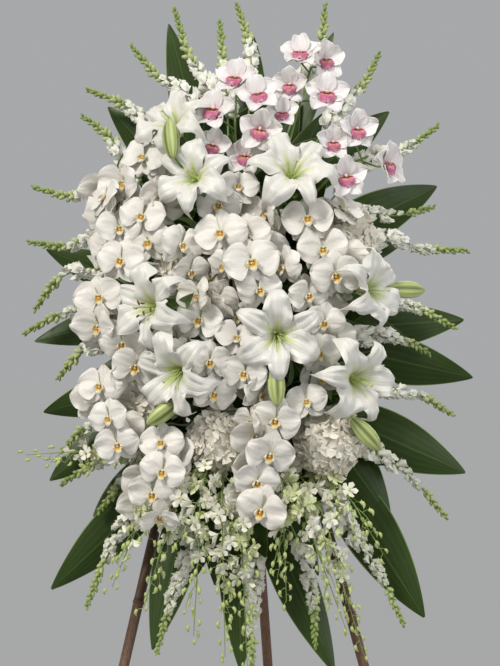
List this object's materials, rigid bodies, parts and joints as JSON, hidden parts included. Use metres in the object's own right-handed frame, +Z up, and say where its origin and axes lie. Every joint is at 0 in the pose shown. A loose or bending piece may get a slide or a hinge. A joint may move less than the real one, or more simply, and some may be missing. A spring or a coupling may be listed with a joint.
{
  "type": "standing funeral spray",
  "caption": "Standing funeral spray: white orchids, lilies, hydrangeas, snapdragons and broad leaves in caged floral foam, tied to a leaning bamboo tripod that stands on the floor",
  "frame": {"origin": "On the floor, under the middle of the whole's box", "axes": "+Z is up, the spray's front faces -Y, and +X is to the right seen from the front"},
  "size_m": [0.878, 0.8648, 1.696],
  "materials": {
    "orchid_petal": "satin white petal with a yellow lip",
    "cymbidium_petal": "waxy pale pink petal with a deep pink lip",
    "lily_petal": "satin white petal with a green throat",
    "hydrangea_petal": "matt cream petal",
    "snapdragon_petal": "matt white florets and green buds",
    "spray_petal": "matt green-white florets and buds",
    "leaf": "glossy dark green leaf",
    "bamboo": "satin brown cane",
    "raffia": "matt fibre",
    "tie": "matt black",
    "cage": "matt dark green",
    "foam": "matt wet foam"
  },
  "bodies": {
    "root": {"phalaenopsis_upper_left": "orchid_petal", "phalaenopsis_left": "orchid_petal", "phalaenopsis_centre_left": "orchid_petal", "phalaenopsis_centre": "orchid_petal", "phalaenopsis_right": "orchid_petal", "phalaenopsis_lower_left": "orchid_petal", "phalaenopsis_lower_centre": "orchid_petal", "cymbidium_left": "cymbidium_petal", "cymbidium_top_right": "cymbidium_petal", "cymbidium_right": "cymbidium_petal", "lily_top_left": "lily_petal", "lily_top": "lily_petal", "lily_left": "lily_petal", "lily_centre": "lily_petal", "lily_lower_left": "lily_petal", "lily_right": "lily_petal", "lily_upper_right": "lily_petal", "hydrangea_lower_right": "hydrangea_petal", "hydrangea_lower_centre": "hydrangea_petal", "hydrangea_centre": "hydrangea_petal", "hydrangea_upper_right": "hydrangea_petal", "hydrangea_left": "hydrangea_petal", "snapdragon_top_left": "snapdragon_petal", "snapdragon_top": "snapdragon_petal", "snapdragon_top_right": "snapdragon_petal", "snapdragon_upper_left": "snapdragon_petal", "snapdragon_left_high": "snapdragon_petal", "snapdragon_left": "snapdragon_petal", "snapdragon_left_low": "snapdragon_petal", "snapdragon_lower_left": "snapdragon_petal", "snapdragon_hanging_left": "snapdragon_petal", "snapdragon_hanging": "snapdragon_petal", "snapdragon_lower_right": "snapdragon_petal", "snapdragon_right_low": "snapdragon_petal", "snapdragon_right": "snapdragon_petal", "snapdragon_right_high": "snapdragon_petal", "leaves_top_left": "leaf", "leaves_top": "leaf", "leaves_top_right": "leaf", "leaves_left_high": "leaf", "leaves_left_low": "leaf", "leaves_hanging_left": "leaf", "leaves_hanging": "leaf", "leaves_right_high": "leaf", "leaves_right": "leaf", "leaves_right_low": "leaf", "orchid_cascade_left": "spray_petal", "orchid_cascade_centre_left": "spray_petal", "orchid_cascade_centre": "spray_petal", "orchid_cascade_right": "spray_petal", "easel_cane_left": "bamboo", "easel_cane_right": "bamboo", "easel_cane_back": "bamboo", "apex_lashing": "raffia", "cage_tie_upper": "tie", "cage_tie_lower_left": "tie", "cage_tie_lower_right": "tie", "foam_cage": "cage", "foam_brick": "foam"}
  },
  "joints": []
}
